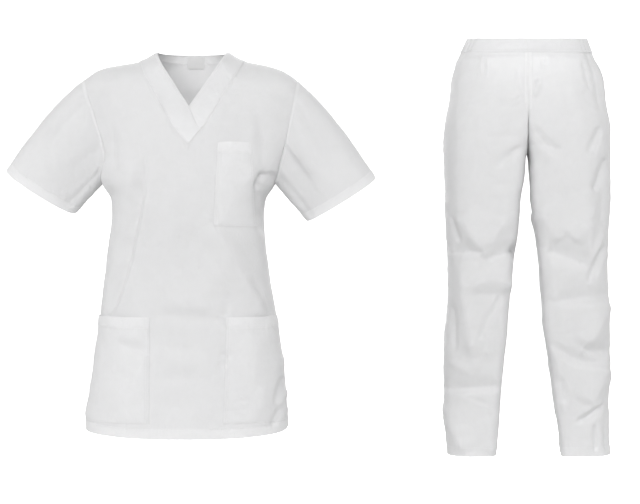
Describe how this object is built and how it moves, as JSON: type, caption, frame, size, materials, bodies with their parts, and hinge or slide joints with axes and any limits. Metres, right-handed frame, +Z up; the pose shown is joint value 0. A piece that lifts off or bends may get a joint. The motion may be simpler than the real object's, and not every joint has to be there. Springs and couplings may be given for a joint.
{
  "type": "medical scrubs, v-neck tunic and elastic-waist trousers",
  "caption": "Plain white scrubs filled out as worn: a short-sleeved V-neck tunic with patch pockets and side vents, and straight trousers with an elastic waist.",
  "frame": {"origin": "where the wearer's shoulders hold the tunic: the middle of the neck opening, at the height of its two highest points; the trousers stand to the wearer's left and further back", "axes": "+Z up, +X to the wearer's left, -Y to the front"},
  "size_m": [1.2633, 0.5621, 0.9116],
  "materials": {
    "cloth": "matt white poplin, single",
    "double_cloth": "matt white poplin, doubled",
    "label": "woven satin, bare"
  },
  "bodies": {
    "root": {"tunic_front": "cloth", "tunic_back": "cloth", "sleeve_right": "cloth", "sleeve_left": "cloth", "trouser_front_right": "cloth", "trouser_front_left": "cloth", "trouser_back_right": "cloth", "trouser_back_left": "cloth", "neck_band_right": "double_cloth", "neck_band_left": "double_cloth", "neck_band_back": "double_cloth", "chest_pocket": "double_cloth", "lower_pocket_right": "double_cloth", "lower_pocket_left": "double_cloth", "waistband_front": "double_cloth", "waistband_back": "double_cloth", "neck_label": "label"}
  },
  "joints": []
}
